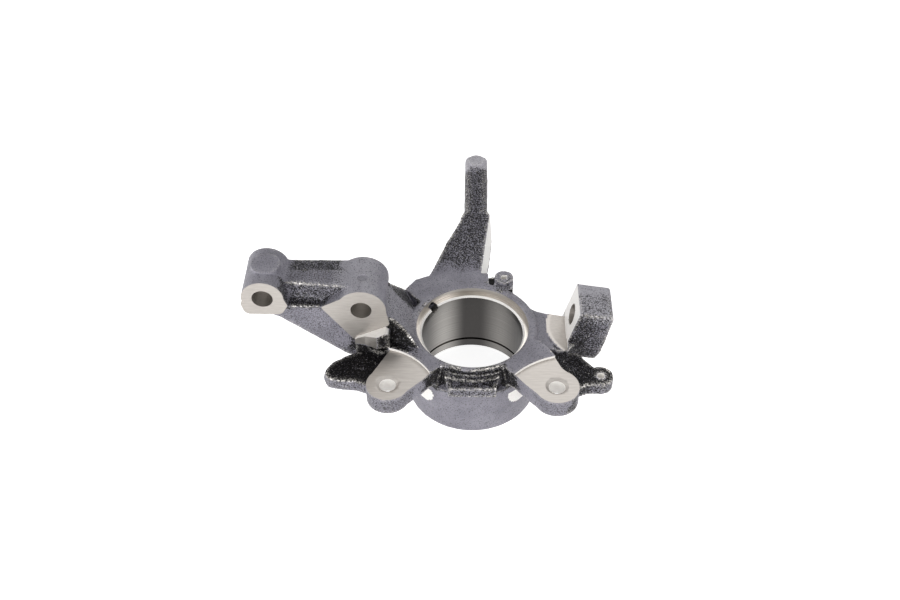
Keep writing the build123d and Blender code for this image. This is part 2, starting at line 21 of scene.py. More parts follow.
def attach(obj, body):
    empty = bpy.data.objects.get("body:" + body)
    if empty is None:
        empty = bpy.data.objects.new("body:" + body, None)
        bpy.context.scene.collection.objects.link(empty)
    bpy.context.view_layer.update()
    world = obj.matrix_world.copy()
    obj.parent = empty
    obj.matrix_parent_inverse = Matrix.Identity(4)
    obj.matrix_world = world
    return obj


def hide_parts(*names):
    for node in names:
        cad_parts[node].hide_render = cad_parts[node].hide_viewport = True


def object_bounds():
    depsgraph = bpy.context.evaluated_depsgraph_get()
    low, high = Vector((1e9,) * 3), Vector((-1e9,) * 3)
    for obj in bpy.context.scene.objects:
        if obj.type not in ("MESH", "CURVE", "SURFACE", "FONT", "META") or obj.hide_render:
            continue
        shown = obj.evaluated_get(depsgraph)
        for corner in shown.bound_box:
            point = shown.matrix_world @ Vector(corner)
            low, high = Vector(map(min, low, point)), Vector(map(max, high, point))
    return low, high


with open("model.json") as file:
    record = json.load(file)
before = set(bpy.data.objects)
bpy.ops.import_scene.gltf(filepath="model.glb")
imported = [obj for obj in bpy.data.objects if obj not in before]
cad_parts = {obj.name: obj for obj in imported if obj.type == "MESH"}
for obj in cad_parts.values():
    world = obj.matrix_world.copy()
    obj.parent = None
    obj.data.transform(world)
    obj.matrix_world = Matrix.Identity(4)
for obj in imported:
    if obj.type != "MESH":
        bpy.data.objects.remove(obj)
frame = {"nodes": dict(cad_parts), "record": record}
cad_low, cad_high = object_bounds()
MM = 0.001
NODE = "knuckle_casting"
print("CAD box, mm:", [round(side / MM, 1) for side in cad_high - cad_low])


# %% [markdown]
# # Where the machining is
# The record's mounts say where the bearing, bolts and pins go.  A mount's place and axis turn
# straight into a formula for the faces that were cut round it, which is safer than picking
# faces by number: it still holds when the mesh is made again.

# %% Read the mounts
MOUNTS = {mount["name"]: mount for mount in frame["record"]["mounts"]}


def place(name):
    """A mount's point in millimetres."""
    return np.array(MOUNTS[name]["pos_m"]) / MM


def radius(name):
    """A round mount's radius in millimetres."""
    return MOUNTS[name]["dims"]["r_mm"]


LUG_FACE = MOUNTS["strut_bolt_lower"]["dims"]["length_mm"] / 2
EAR_SPAN = MOUNTS["caliper_bolts"]["dims"]["spacing_x_mm"]
EAR_HOLE = MOUNTS["caliper_bolts"]["dims"]["hole_r_mm"]
EARS = [place("caliper_bolts") + (side * EAR_SPAN / 2, 0, 0) for side in (-1, 1)]
LOWER_BOLT, UPPER_BOLT = place("strut_bolt_lower"), place("strut_bolt_upper")
PIN, PIN_AXIS = place("ball_joint_pin"), np.array(MOUNTS["ball_joint_pin"]["axis"])
PIN_FACE = -MOUNTS["ball_joint_pin"]["dims"]["length_mm"] / 2
SEAL_RADIUS = radius("seal_seat")
print("mounts read:", len(MOUNTS), "ear centres, mm:", [ear.round(1).tolist() for ear in EARS])

# %% Levels and depths that no mount gives, in mm
HUB_TOP = 61.0
EAR_STEP = 2.0
PLATE_DEPTH = 15.5
SEAL_DEPTH, SEAL_CHAMFER = 6.0, 1.2
SHOULDER_RADIUS, SHOULDER_CHAMFER = 36.0, 1.2
COUNTERSINK, COUNTERSINK_DEPTH = 2.2, 1.4
EAR_FACE = HUB_TOP - EAR_STEP
EAR_UNDERSIDE = HUB_TOP - PLATE_DEPTH
SEAL_SEAT = HUB_TOP - SEAL_DEPTH
print("ear face, ear underside and seal seat at, mm:", EAR_FACE, EAR_UNDERSIDE, SEAL_SEAT)


# %% [markdown]
# # A finer skin
# The CAD mesh has long thin triangles, which can't be rounded or roughened.  Blender's Remesh
# modifier in Sharp mode lays even squares over the shape and still keeps its edges, where
# Voxel mode would melt the machined corners.  The copy is merged first, because a loaded mesh
# is loose triangles.

# %% Lay an even mesh over the casting
OCTREE_DEPTH = 8
OCTREE_SCALE = 0.88
MERGE_M = 1e-6


def merged_copy(source, name):
    """A copy of a CAD object's mesh with its loose triangles joined."""
    mesh = source.data.copy()
    mesh.name = name
    shell = bmesh.new()
    shell.from_mesh(mesh)
    bmesh.ops.remove_doubles(shell, verts=shell.verts, dist=MERGE_M)
    shell.to_mesh(mesh)
    shell.free()
    made = bpy.data.objects.new(name, mesh)
    bpy.context.scene.collection.objects.link(made)
    return made


def even_mesh(piece):
    """The piece's mesh after a sharp remesh, which puts a vertex on every crease."""
    remesh = piece.modifiers.new("even", "REMESH")
    remesh.mode = "SHARP"
    remesh.octree_depth = OCTREE_DEPTH
    remesh.scale = OCTREE_SCALE
    graph = bpy.context.evaluated_depsgraph_get()
    mesh = bpy.data.meshes.new_from_object(piece.evaluated_get(graph))
    piece.modifiers.clear()
    return mesh


casting = merged_copy(frame["nodes"][NODE], "casting_skin")
casting.data = even_mesh(casting)
print("even mesh:", len(casting.data.vertices), "vertices,", len(casting.data.polygons), "faces")


# %% Read the mesh into arrays
def vertex_array(mesh):
    """Vertex positions in mm as an (N, 3) array."""
    flat = np.empty(len(mesh.vertices) * 3)
    mesh.vertices.foreach_get("co", flat)
    return flat.reshape(-1, 3) / MM


def edge_array(mesh):
    """Vertex numbers of each edge as an (N, 2) array."""
    flat = np.empty(len(mesh.edges) * 2, dtype=np.int64)
    mesh.edges.foreach_get("vertices", flat)
    return flat.reshape(-1, 2)


def vertex_normals(mesh):
    """Outward vertex normals as an (N, 3) array."""
    flat = np.empty(len(mesh.vertices) * 3)
    mesh.vertices.foreach_get("normal", flat)
    return flat.reshape(-1, 3)


def place_vertices(mesh, points):
    """Moves a mesh's vertices to points in mm."""
    mesh.vertices.foreach_set("co", (points * MM).ravel())
    mesh.update()


# %% [markdown]
# # Round edges that are truly round
# A drill or a lathe leaves a perfect circle, but the even squares can only follow it in small
# steps, and a stepped rim catches the eye at once.  So each vertex that lies close to a round
# edge is moved onto that edge's circle.

# %% True up the round edges
UP, ACROSS = np.array([0.0, 0.0, 1.0]), np.array([0.0, 1.0, 0.0])
SNAP = 0.62
TURNED_EDGES = (
    (SEAL_RADIUS + SEAL_CHAMFER, HUB_TOP),
    (SEAL_RADIUS, HUB_TOP - SEAL_CHAMFER),
    (SEAL_RADIUS, SEAL_SEAT),
    (SHOULDER_RADIUS + SHOULDER_CHAMFER, SEAL_SEAT),
    (SHOULDER_RADIUS, SEAL_SEAT - SHOULDER_CHAMFER),
)
ROUND_EDGES = [(level * UP, UP, ring_radius) for ring_radius, level in TURNED_EDGES]
for ear in EARS:
    for deeper, wider in ((0.0, COUNTERSINK), (COUNTERSINK_DEPTH, 0.0)):
        mouth = np.array([ear[0], ear[1], EAR_FACE - deeper])
        ROUND_EDGES.append((mouth, UP, EAR_HOLE + wider))
for bolt, name in ((LOWER_BOLT, "strut_bolt_lower"), (UPPER_BOLT, "strut_bolt_upper")):
    for side in (-1, 1):
        ROUND_EDGES.append((bolt + side * LUG_FACE * ACROSS, ACROSS, radius(name)))


def trued(points):
    """Vertices within SNAP mm of a round edge, moved outwards or inwards onto its circle."""
    points = points.copy()
    for centre, axis, ring_radius in ROUND_EDGES:
        offset = points - centre
        along = offset @ axis
        outwards = offset - np.outer(along, axis)
        from_axis = np.linalg.norm(outwards, axis=1)
        near = np.hypot(from_axis - ring_radius, along) < SNAP
        points[near] = centre + outwards[near] * (ring_radius / from_axis[near])[:, None]
    return points


place_vertices(casting.data, trued(vertex_array(casting.data)))
print("round edges trued:", len(ROUND_EDGES))


# %% [markdown]
# # Sort the faces
# Each kind of cut leaves its own finish, so the faces are sorted into kinds by where their
# middles are and which way they point.  All faces are handled as one array.

# %% Measure every face
def face_arrays(mesh):
    """Middles in mm and outward normals of a mesh's faces, as (N, 3) arrays."""
    count = len(mesh.polygons)
    middles, normals = np.empty(count * 3), np.empty(count * 3)
    mesh.polygons.foreach_get("center", middles)
    mesh.polygons.foreach_get("normal", normals)
    return middles.reshape(-1, 3) / MM, normals.reshape(-1, 3)


def round_axis(points, centre, axis):
    """Distance of each point from the line through centre along axis."""
    offset = points - centre
    return np.linalg.norm(offset - np.outer(offset @ axis, axis), axis=1)


# A face counts as on a plane within NEAR mm (HAIR mm where another cut is close), as square
# to a direction from SQUARE up, and as a wall where its normal's height is small.
NEAR, HAIR = 0.25, 0.1
SQUARE = 0.95
WALL, HOLE_WALL = 0.3, 0.5
# The fourth kind, cut steps and hole walls, is drawn near white as a painted highlight.
SKIN, FACED, BORE, PAINTED_BRIGHT, TURNED = range(5)

# %% Faces cut on and round the ears
# The ears lie in front of EARS_FRONT and outside EARS_INSIDE.  Their steps end at STEP_REACH
# to the sides, and the left one also behind CHEEK_FOOT.
EARS_FRONT, EARS_INSIDE = -18.0, 20.0
STEP_REACH = 58.0
CHEEK_FOOT = -27.0
SPOT_FACE_RADIUS = 32.2
# The spot facer grazed the barrel's side below each ear and left a round patch there: its
# level and radius, for the left ear and the right.  The patch is drawn near white like the
# steps, partly as a painted highlight.
BARREL_SIDE, BARREL_REACH = 47.4, 50.0
PATCHES = ((29.5, 9.2), (31.6, 11.2))
PATCH_TOP = 34.0


def ear_cuts(points, normals, kind):
    """Faces milled on and under the ears, their steps, countersinks and holes."""
    x, y, z = points.T
    nz = normals[:, 2]
    ear_side = (y < EARS_FRONT) & (np.abs(x) > EARS_INSIDE)
    ear_side &= (x > -STEP_REACH) | (y < CHEEK_FOOT)
    kind[ear_side & (np.abs(z - EAR_FACE) < NEAR) & (nz > SQUARE)] = FACED
    step = ear_side & (z > EAR_FACE) & (z < HUB_TOP) & (np.abs(nz) < WALL)
    outwards = normals[:, 0] * np.sign(x) > -WALL
    kind[step & outwards & (np.abs(x) < STEP_REACH)] = PAINTED_BRIGHT
    for ear, (patch_level, patch_radius) in zip(EARS, PATCHES):
        from_ear = round_axis(points, ear, UP)
        under = (from_ear < SPOT_FACE_RADIUS) & (np.abs(z - EAR_UNDERSIDE) < NEAR)
        kind[under & (nz < -SQUARE)] = FACED
        towards = ear[:2] / np.linalg.norm(ear[:2])
        middle = np.array([*(towards * BARREL_SIDE), patch_level])
        patch = (np.linalg.norm(points - middle, axis=1) < patch_radius) & (z < PATCH_TOP)
        kind[patch & (np.hypot(x, y) < BARREL_REACH)] = PAINTED_BRIGHT
        kind[(from_ear < EAR_HOLE + COUNTERSINK) & (np.abs(nz) < SQUARE)] = FACED
        kind[(from_ear < EAR_HOLE + NEAR) & (np.abs(nz) < HOLE_WALL)] = PAINTED_BRIGHT
    for name in ("shield_screw", "sensor_bracket_screw"):
        kind[round_axis(points, place(name), UP) < radius(name) + NEAR] = PAINTED_BRIGHT


# %% Faces cut on the strut lugs
# The lugs end LUGS_REACH right of the lower bolt.  The cheek starts CHEEK_START right of the
# upper bolt and is machined up to CHEEK_WIDTH right of the lower one; its ledge points up.
LUGS_REACH = 25.0
CHEEK_START, CHEEK_WIDTH = 40.0, 10.0
CHEEK_LOWEST, LEDGE_LOWEST = -0.5, 0.6


def strut_cuts(points, normals, kind):
    """Clamping faces of the strut lugs, the cheek the cutter left, and the bolt holes."""
    x, y, z = points.T
    ny, nz = normals[:, 1], normals[:, 2]
    lugs = x < LOWER_BOLT[0] + LUGS_REACH
    kind[lugs & (np.abs(np.abs(y) - LUG_FACE) < NEAR) & (np.abs(ny) > SQUARE)] = FACED
    cheek = lugs & (y < -LUG_FACE - NEAR) & (z > HUB_TOP) & (x > UPPER_BOLT[0] + CHEEK_START)
    kind[cheek & (x < LOWER_BOLT[0] + CHEEK_WIDTH) & (nz > CHEEK_LOWEST)] = FACED
    kind[cheek & (nz > LEDGE_LOWEST)] = PAINTED_BRIGHT
    for bolt, name in ((LOWER_BOLT, "strut_bolt_lower"), (UPPER_BOLT, "strut_bolt_upper")):
        kind[round_axis(points, bolt, ACROSS) < radius(name) + NEAR] = FACED


# %% Faces cut at the ball joint and the steering stop
BALL_SIDE, BALL_FRONT, BALL_BACK = 40.0, -25.0, 40.0
RELIEF_RADIUS, RELIEF_DROP, RELIEF_LENGTH = 110.0, 15.46, 13.5
STOP_FRONT = 50
STOP_RADIUS = 25.0
STOP_YAW, STOP_LEAN = 12.1, 11.3
STOP_POINT = np.array([9.0, 78.0, 71.0])
STOP_AXIS = np.array([
    1.0, -math.tan(math.radians(STOP_YAW)), math.tan(math.radians(STOP_LEAN))])
STOP_AXIS /= np.linalg.norm(STOP_AXIS)


def arm_cuts(points, normals, kind):
    """Ball joint face, its pin hole and the relief beside it, and the steering stop's flat."""
    x, y, _ = points.T
    along = (points - PIN) @ PIN_AXIS
    pin_side = (x > BALL_SIDE) & (y > BALL_FRONT) & (y < BALL_BACK)
    at_face = pin_side & (np.abs(along - PIN_FACE) < NEAR)
    kind[at_face & (normals @ PIN_AXIS < -SQUARE)] = PAINTED_BRIGHT
    kind[pin_side & (round_axis(points, PIN, PIN_AXIS) < radius("ball_joint_pin") + NEAR)] = FACED
    above = (points - PIN) @ np.cross(PIN_AXIS, ACROSS)
    bow = np.hypot(y - PIN[1], above - (RELIEF_RADIUS - RELIEF_DROP))
    beside = (along < PIN_FACE + NEAR) & (along > PIN_FACE - RELIEF_LENGTH)
    kind[pin_side & beside & (np.abs(bow - RELIEF_RADIUS) < 2 * NEAR)] = FACED
    from_stop = points - STOP_POINT
    flat = np.abs(from_stop @ STOP_AXIS) < NEAR
    kind[flat & (np.linalg.norm(from_stop, axis=1) < STOP_RADIUS) & (y > STOP_FRONT)] = PAINTED_BRIGHT


# %% Faces cut in the hub, and all cuts together
def hub_cuts(points, normals, kind):
    """Turned steps inside the hub, the bearing's seat, and the flat outboard end."""
    x, y, z = points.T
    from_bearing = np.hypot(x, y)
    mouth = SEAL_RADIUS + SEAL_CHAMFER
    kind[from_bearing < mouth] = BORE
    kind[(from_bearing < mouth) & (z > SEAL_SEAT - HAIR)] = TURNED
    kind[(from_bearing < mouth) & (z > HUB_TOP - SEAL_CHAMFER + HAIR)] = SKIN
    lip = (z < SEAL_SEAT - HAIR) & (z > SEAL_SEAT - SHOULDER_CHAMFER + HAIR)
    kind[(from_bearing < SHOULDER_RADIUS + SHOULDER_CHAMFER) & lip] = PAINTED_BRIGHT
    kind[z < NEAR] = FACED


def cutter_kinds(points, normals):
    """Kind of each face: cast skin, milled flat, bored, step painted near white as a highlight, or
    turned ring.
    """
    kind = np.full(len(points), SKIN)
    for cuts in (ear_cuts, strut_cuts, arm_cuts, hub_cuts):
        cuts(points, normals, kind)
    return kind


middles, normals = face_arrays(casting.data)
kinds = cutter_kinds(middles, normals)
print("faces: skin, faced, bore, step, turned:", np.bincount(kinds, minlength=5).tolist())


# %% [markdown]
# # Round the cast edges
# Molten iron never fills a sharp corner, so every cast edge is round, while a cutter leaves
# its edges crisp.  Averaging each vertex with its neighbours a few times rounds the cast
# edges; the vertices of cut faces are held, so that those stay flat and sharp.  No vertex
# may move further than a cap, or thin bosses would shrink.

# %% Work on vertices and their neighbours
def face_sizes(mesh):
    """Number of corners of each face."""
    sizes = np.empty(len(mesh.polygons), dtype=np.int64)
    mesh.polygons.foreach_get("loop_total", sizes)
    return sizes


def corners_of(mesh, chosen):
    """True for each vertex that belongs to a chosen face."""
    loops = np.empty(len(mesh.loops), dtype=np.int64)
    mesh.loops.foreach_get("vertex_index", loops)
    held = np.zeros(len(mesh.vertices), dtype=bool)
    held[loops[np.repeat(chosen, face_sizes(mesh))]] = True
    return held


def neighbour_mean(values, edges):
    """Mean of each vertex's neighbours: the sum over its edges divided by their number."""
    count = np.bincount(edges.ravel(), minlength=len(values))
    total = np.stack([
        np.bincount(edges[:, 0], values[edges[:, 1], axis], minlength=len(values))
        + np.bincount(edges[:, 1], values[edges[:, 0], axis], minlength=len(values))
        for axis in range(values.shape[1])
    ], axis=1)
    return total / np.maximum(count, 1)[:, None]


# %% Smooth the cast skin only
ROUNDING_STEPS = 4
ROUNDING_PULL = 0.5
ROUNDING_CAP = 0.4
LEAST_MOVE = 1e-9
# Boxes round forms that are too fine for the full rounding, which keep only FINE_SHARE of it.
FINE_FORMS = {
    "bracket boss": ((14, 41, 56), (32, 58, 66)),
    "terraces": ((-24, -54, 48), (24, -36, 62)),
    "shoulders of the neck": ((-12, 92, 56), (16, 107, 96)),
    "pad on the eye": ((-5, 140, 90), (9, 156, 100)),
}
FINE_SHARE = 0.15


def rounded(points, edges, held):
    """Points pulled to their neighbours' mean step by step, no further than ROUNDING_CAP."""
    start = points.copy()
    pull = np.where(held, 0.0, ROUNDING_PULL)
    for low, high in FINE_FORMS.values():
        pull[((points > low) & (points < high)).all(axis=1)] *= FINE_SHARE
    free = pull[:, None]
    for _ in range(ROUNDING_STEPS):
        points = points + free * (neighbour_mean(points, edges) - points)
        moved = points - start
        far = np.linalg.norm(moved, axis=1)[:, None]
        points = start + moved * np.minimum(1.0, ROUNDING_CAP / np.maximum(far, LEAST_MOVE))
    return points


sharp = vertex_array(casting.data)
edges = edge_array(casting.data)
held = corners_of(casting.data, kinds != SKIN)
points = rounded(sharp, edges, held)
place_vertices(casting.data, points)
print("vertices held on cut faces:", int(held.sum()), "of", len(held))


# %% [markdown]
# # Grit of the sand mould, and painted shade
# Sand leaves its grain in the iron.  Some stretches came out smooth and some coarse, so a
# number from 0 to 1 is worked out for each vertex.  It lifts the surface by a sum of waves in
# many directions, and the same number later darkens the colour of the skin.  A few zones in
# pockets and under overhangs set it high as painted shade, which comes out as black skin.

# %% A grain that is the same whichever way it is cut
WAVE_COUNT = 48


def grain(points, shortest, longest, seed):
    """Sum of WAVE_COUNT sine waves, wavelengths shortest to longest mm, of unit strength."""
    rng = np.random.default_rng(seed)
    directions = rng.normal(size=(WAVE_COUNT, 3))
    directions /= np.linalg.norm(directions, axis=1)[:, None]
    lengths = rng.uniform(shortest, longest, WAVE_COUNT)
    phases = rng.uniform(0, 2 * math.pi, WAVE_COUNT)
    waves = np.sin(points @ (directions * (2 * math.pi / lengths)[:, None]).T + phases)
    return waves.sum(axis=1) / math.sqrt(WAVE_COUNT / 2)


# %% Soft borders
SOFT_EDGE = 3.0


def ramp(distance, soft=SOFT_EDGE):
    """0 to 1 over soft mm, centred where distance is zero."""
    return np.clip(distance / soft + 0.5, 0.0, 1.0)


def share(value, nought, full):
    """0 where value is at nought, rising evenly to 1 where it is at full."""
    return np.clip((value - nought) / (full - nought), 0.0, 1.0)


def inside(points, low, high):
    """1 inside a box and 0 outside it, with soft sides."""
    gaps = np.minimum(points - np.array(low), np.array(high) - points)
    return ramp(gaps.min(axis=1))


def facings(normals):
    """How far each point of the surface faces each way, from 0 to 1, by its normal."""
    nx, ny, nz = normals.T
    front = share(-ny, 0.3, 0.3 + 1 / 3)
    return {
        "any": 1.0,
        "top": share(nz, 0.5, 0.75),
        "slope": share(nz, 0.97, 0.92),
        "flank": share(nz, -0.65, -0.15),
        "side": share(np.abs(nz), 0.7, 0.2),
        "right": share(nx, 0.0, 0.5),
        "front": front,
        "mostly front": np.maximum(front, 0.2),
    }


# %% Say where the skin is coarse, and where shade is painted
# Each zone is a box, in mm, the way its surface faces, and how coarse the skin is there.
# The zones in the windows, on the gusset's front, under the cheek, in the sensor notch and at
# the bracket boss's root are also set dark as painted shade, for pockets and overhangs.
PANEL_GRIT = 0.16
CHEEK_RIGHT = LOWER_BOLT[0] + CHEEK_WIDTH
ZONES = {
    "left wing, top": ((-112, -72, 49), (-51, 0, 58), "top", 1.0),
    "left wing, edge": ((-112, -72, 40), (-74, -10, 58), "side", 0.3),
    "right wing, top": ((56, -62, 49), (112, -12, 58), "top", 0.84),
    "right wing, edge": ((72, -62, 40), (112, -12, 55), "side", 0.35),
    "left ear, walls": ((-90, -80, 40), (-40, -44, 58), "side", 0.28),
    "right ear, walls": ((40, -80, 40), (90, -44, 58), "side", PANEL_GRIT),
    "terraces": ((-23, -50, 49), (23, -30, 61.5), "any", 0.8),
    "pad under the terraces": ((-23, -60, 40), (23, -46, 52), "any", 0.42),
    "window, left cheek, painted shade": ((-33, -54, 40), (-17, -33, 61.8), "side", 0.92),
    "window, right cheek, painted shade": ((17, -54, 40), (31, -33, 61.8), "side", 0.92),
    "strut arm, scoop's wall": ((-127, -20, 90), (-86, 5, 120), "mostly front", 0.46),
    "strut arm, scoop's floor": ((-127, -20, 88), (-86, -4, 97), "top", 0.66),
    "strut arm, crown": ((-127, -8, 100), (-90, 8, 120), "top", 0.26),
    "strut arm, rear band": ((-127, 5.5, 100), (-90, 20, 120), "top", 0.6),
    "strut arm, front panel": ((-150, -20, 40), (-62, -12, 90), "any", PANEL_GRIT),
    "upper lug, right flank": ((-133, -21, 96), (-126, -5, 111), "right", 0.62),
    "gusset, front, painted shade": ((-62, -28, 60), (-32, -10, 92), "front", 1.0),
    "gusset, slope": ((-64, -20, 60), (-38, 16, 92), "any", PANEL_GRIT),
    "gusset, back": ((-67, 13, 60), (-33, 41, 92), "slope", 0.78),
    "cheek, right of the cut, painted shade": ((CHEEK_RIGHT, -60, 50), (-53, -18.2, 82), "any", 1.0),
    "cheek, foot, painted shade": ((-73, -30, 54), (-51, -15, 66), "any", 1.0),
    "cheek, underneath, painted shade": ((-86, -31, 52), (-58, -15, 61.5), "any", 1.0),
    "sensor notch, painted shade": ((-36, 18, 48), (-24, 36, 60.5), "side", 1.0),
    "bracket boss, root, painted shade": ((9, 34, 50), (32, 60, 60), "any", 1.0),
    "bracket boss, top": ((17, 32, 58), (38, 52, 66), "top", 0.34),
}


def boxed_zones(points, faces):
    """Pairs of how far each point lies in a zone, 0 to 1, and how coarse and dark that zone is;
    some zones are painted shade.
    """
    return [
        (inside(points, low, high) * faces[way], grit_and_shade_level)
        for low, high, way, grit_and_shade_level in ZONES.values()
    ]


# %% Zones that fade out along the form
ARM_ROOT, ARM_FADE, ARM_GRIT = 60, 12, 0.56
EYE_START, EYE_UNDERSIDE = 139, 85
TOE = (-66, -42, 59.6), (-32, -15, 64)
TOE_THIN, TOE_THICK, TOE_GRIT = 34, 48, 0.95
BLOCK_LEFT, BLOCK_FRONT = 66, -8
BLOCK_FRONT_GRIT, BLOCK_TOP_GRIT = 0.72, 0.3
BLOCK_FADE_AT, BLOCK_FADE, BLOCK_FADE_SHARE = 84, 20, 0.5
BLOCK_TOP = (60, -20, 78), (99, 8, 92)
WEB = (56, -20, 52), (80, -8, 64)
WEB_DROP, WEB_FADE, WEB_GRIT = 14, 1.0, 0.8


def faded_zones(points, faces):
    """Zones on the steering arm, the gusset's toe, and the ball joint's block and web."""
    x, y, z = points.T
    eye = ramp(y - EYE_START) * ramp(z - EYE_UNDERSIDE)
    toe = inside(points, *TOE) * faces["top"] * share(-x, TOE_THIN, TOE_THICK)
    block = ramp(x - BLOCK_LEFT)
    block_front = block * ramp(BLOCK_FRONT - y) * faces["front"]
    block_front *= 1 - BLOCK_FADE_SHARE * ramp(x - BLOCK_FADE_AT, BLOCK_FADE)
    block_top = block * inside(points, *BLOCK_TOP) * faces["top"]
    web = inside(points, *WEB) * ramp(EAR_UNDERSIDE + WEB_DROP - z, WEB_FADE)
    return [
        (ramp(y - ARM_ROOT, ARM_FADE) * faces["flank"] * (1 - eye), ARM_GRIT),
        (toe, TOE_GRIT),
        (block_front, BLOCK_FRONT_GRIT),
        (block_top, BLOCK_TOP_GRIT),
        (web, WEB_GRIT),
    ]


# %% Coarse and lighter stretches
# The zones' borders drift by BLOT mm, because sand never ends on a straight line.
BLOT = 1.1
BLOT_WAVES = (5, 16)
BLOT_SEEDS = (1, 2, 3)
# Stretches where the skin is drawn in a lighter grey: two corners of a box in mm, and how far.
LIGHTER_STRETCHES = {
    "eye's top": ((-8, 139, 86), (13, 165, 104), 0.7),
    "ball joint block's top": ((64, -22, 78), (99, 24, 92), 0.55),
    "lower lug's top": ((-96, -18, 104), (-58, 20, 119), 0.3),
    "gusset's slope": ((-62, -15, 58), (-40, 14, 92), 0.3),
}


def grit_and_shade_of(points, normals):
    """Coarseness of the skin at each point, with painted shade in some zones, the strongest of its
    zones with blotted edges.
    """
    blots = [grain(points, *BLOT_WAVES, seed) for seed in BLOT_SEEDS]
    drifted = points + BLOT * np.stack(blots, axis=1)
    faces = facings(normals)
    zones = boxed_zones(drifted, faces) + faded_zones(drifted, faces)
    return np.clip(np.max([zone * grit_and_shade_level for zone, grit_and_shade_level in zones], axis=0), 0, 1)


def lightening_of(points):
    """How far the skin is drawn lighter at each point, from 0 to 1."""
    return np.max([inside(points, low, high) * far for low, high, far in LIGHTER_STRETCHES.values()], axis=0)


# %% Lift the skin
# Real moulding sand leaves bumps of 0.2 to 0.5 mm across.  The mesh's squares are 1.1 mm and
# a pixel of the render about 0.7 mm, so the bumps are drawn coarser, 2.6 to 7 mm across.
GRAIN_WAVES, GRAIN_SEED = (2.6, 7.0), 7
SMOOTH_RELIEF = 0.05
COARSE_RELIEF = 0.13

outward = vertex_normals(casting.data)
grit_and_shade = np.where(held, 0.0, grit_and_shade_of(points, outward))
relief = np.where(held, 0.0, SMOOTH_RELIEF + (COARSE_RELIEF - SMOOTH_RELIEF) * grit_and_shade)
lifted = points + outward * (relief * grain(points, *GRAIN_WAVES, GRAIN_SEED))[:, None]
place_vertices(casting.data, lifted)
print("coarse share of the skin:", round(float(grit_and_shade.mean()), 3))


# %% [markdown]
# # Worn edges
# Blasting and handling polish the corners that stick out.  A vertex sticks out where it lies
# beyond the mean of its neighbours along its normal, so that distance, kept as a number called
# rub, says where the skin shines.

# %% Say where the skin is rubbed bright
RUB_FULL = 0.175


def rub_of(points, normals, edges):
    """0 on flat skin and in hollows, up to 1 where a vertex stands RUB_FULL mm proud."""
    proud = ((points - neighbour_mean(points, edges)) * normals).sum(axis=1)
    proud = neighbour_mean(proud[:, None], edges)[:, 0]
    return np.clip(proud / RUB_FULL, 0, 1)


def store(mesh, name, values):
    """Keeps one number for each vertex as a named attribute that a material can read."""
    layer = mesh.attributes.new(name, "FLOAT", "POINT")
    layer.data.foreach_set("value", values)


rub = rub_of(points, outward, edges)
store(casting.data, "grit_and_shade", grit_and_shade)
store(casting.data, "rub", rub)
store(casting.data, "lightening", lightening_of(points))
casting.data.update()
print("rubbed share of the skin:", round(float(rub.mean()), 3))


# %% [markdown]
# # Colours and nodes
# Colours are written as hex codes, as a paint maker gives them, and one function turns them
# into Blender's linear numbers.  One more function adds a node with its settings and links.

# %% Helpers for materials
def linear(hex_code):
    """sRGB hex to linear RGBA: c/12.92 below 0.04045, else ((c + 0.055) / 1.055) ** 2.4."""
    channels = [int(hex_code[start:start + 2], 16) / 255 for start in (0, 2, 4)]
    low = [c / 12.92 if c <= 0.04045 else ((c + 0.055) / 1.055) ** 2.4 for c in channels]
    return (*low, 1.0)


def add_node(tree, kind, sockets=(), **settings):
    """Adds one node; sockets maps an input to a value or to another node's output."""
    made = tree.nodes.new(kind)
    for name, value in settings.items():
        setattr(made, name, value)
    for socket, value in dict(sockets).items():
        if isinstance(value, bpy.types.NodeSocket):
            tree.links.new(value, made.inputs[socket])
        else:
            made.inputs[socket].default_value = value
    return made


def new_material(name):
    """An empty node material, its tree and its Principled shader joined to the output."""
    material = bpy.data.materials.new(name)
    material.use_nodes = True
    tree = material.node_tree
    tree.nodes.clear()
    shader = add_node(tree, "ShaderNodeBsdfPrincipled")
    output = add_node(tree, "ShaderNodeOutputMaterial")
    tree.links.new(shader.outputs["BSDF"], output.inputs["Surface"])
    return material, tree, shader


def per_metre(size_mm):
    """Noise scale whose features are about size_mm across."""
    return 1 / (size_mm * MM)


# A Mix node has its sockets once for each sort of data, so the two colours that it mixes and
# the colour that it gives are found by number.
FIRST, SECOND, MIXED = 6, 7, 2


# %% [markdown]
# # The cast skin
# Ductile iron comes out of the sand with a dark oxide skin, and is then blasted with shot and
# oiled.  Where the skin is smooth it is a matt grey with a violet cast.  Where it is coarse,
# light is lost between the grains, so it looks nearly black, with bright specks where the shot
# has hit a grain down to the iron.  In the zones of painted shade, in pockets and under
# overhangs, the same black stands for shade.  The skin is oxide and not bare metal, so its
# metallic stays low, and only the specks and the worn edges are metal.

# %% Sizes and colours of the skin
# Shot leaves dents of 0.2 to 0.4 mm, which would be finer than a pixel, so the specks and
# glints are drawn coarser, about 1 mm across.  The clouds in the grey are drawn full size.
CLOUD = 16.0
SHOT_MARK = 0.9
GLINT_MARK = 1.3
SMOOTH_IRON, SMOOTH_IRON_DARK = "918f99", "7d7b85"
LIGHTER_IRON = "c6c4ca"
PIT, COARSE_PIT, BLACK_PIT_AND_SHADE = "55535a", "151415", "070607"
GLINT_IRON = "e6e2dc"
PIT_SHARE = 0.3


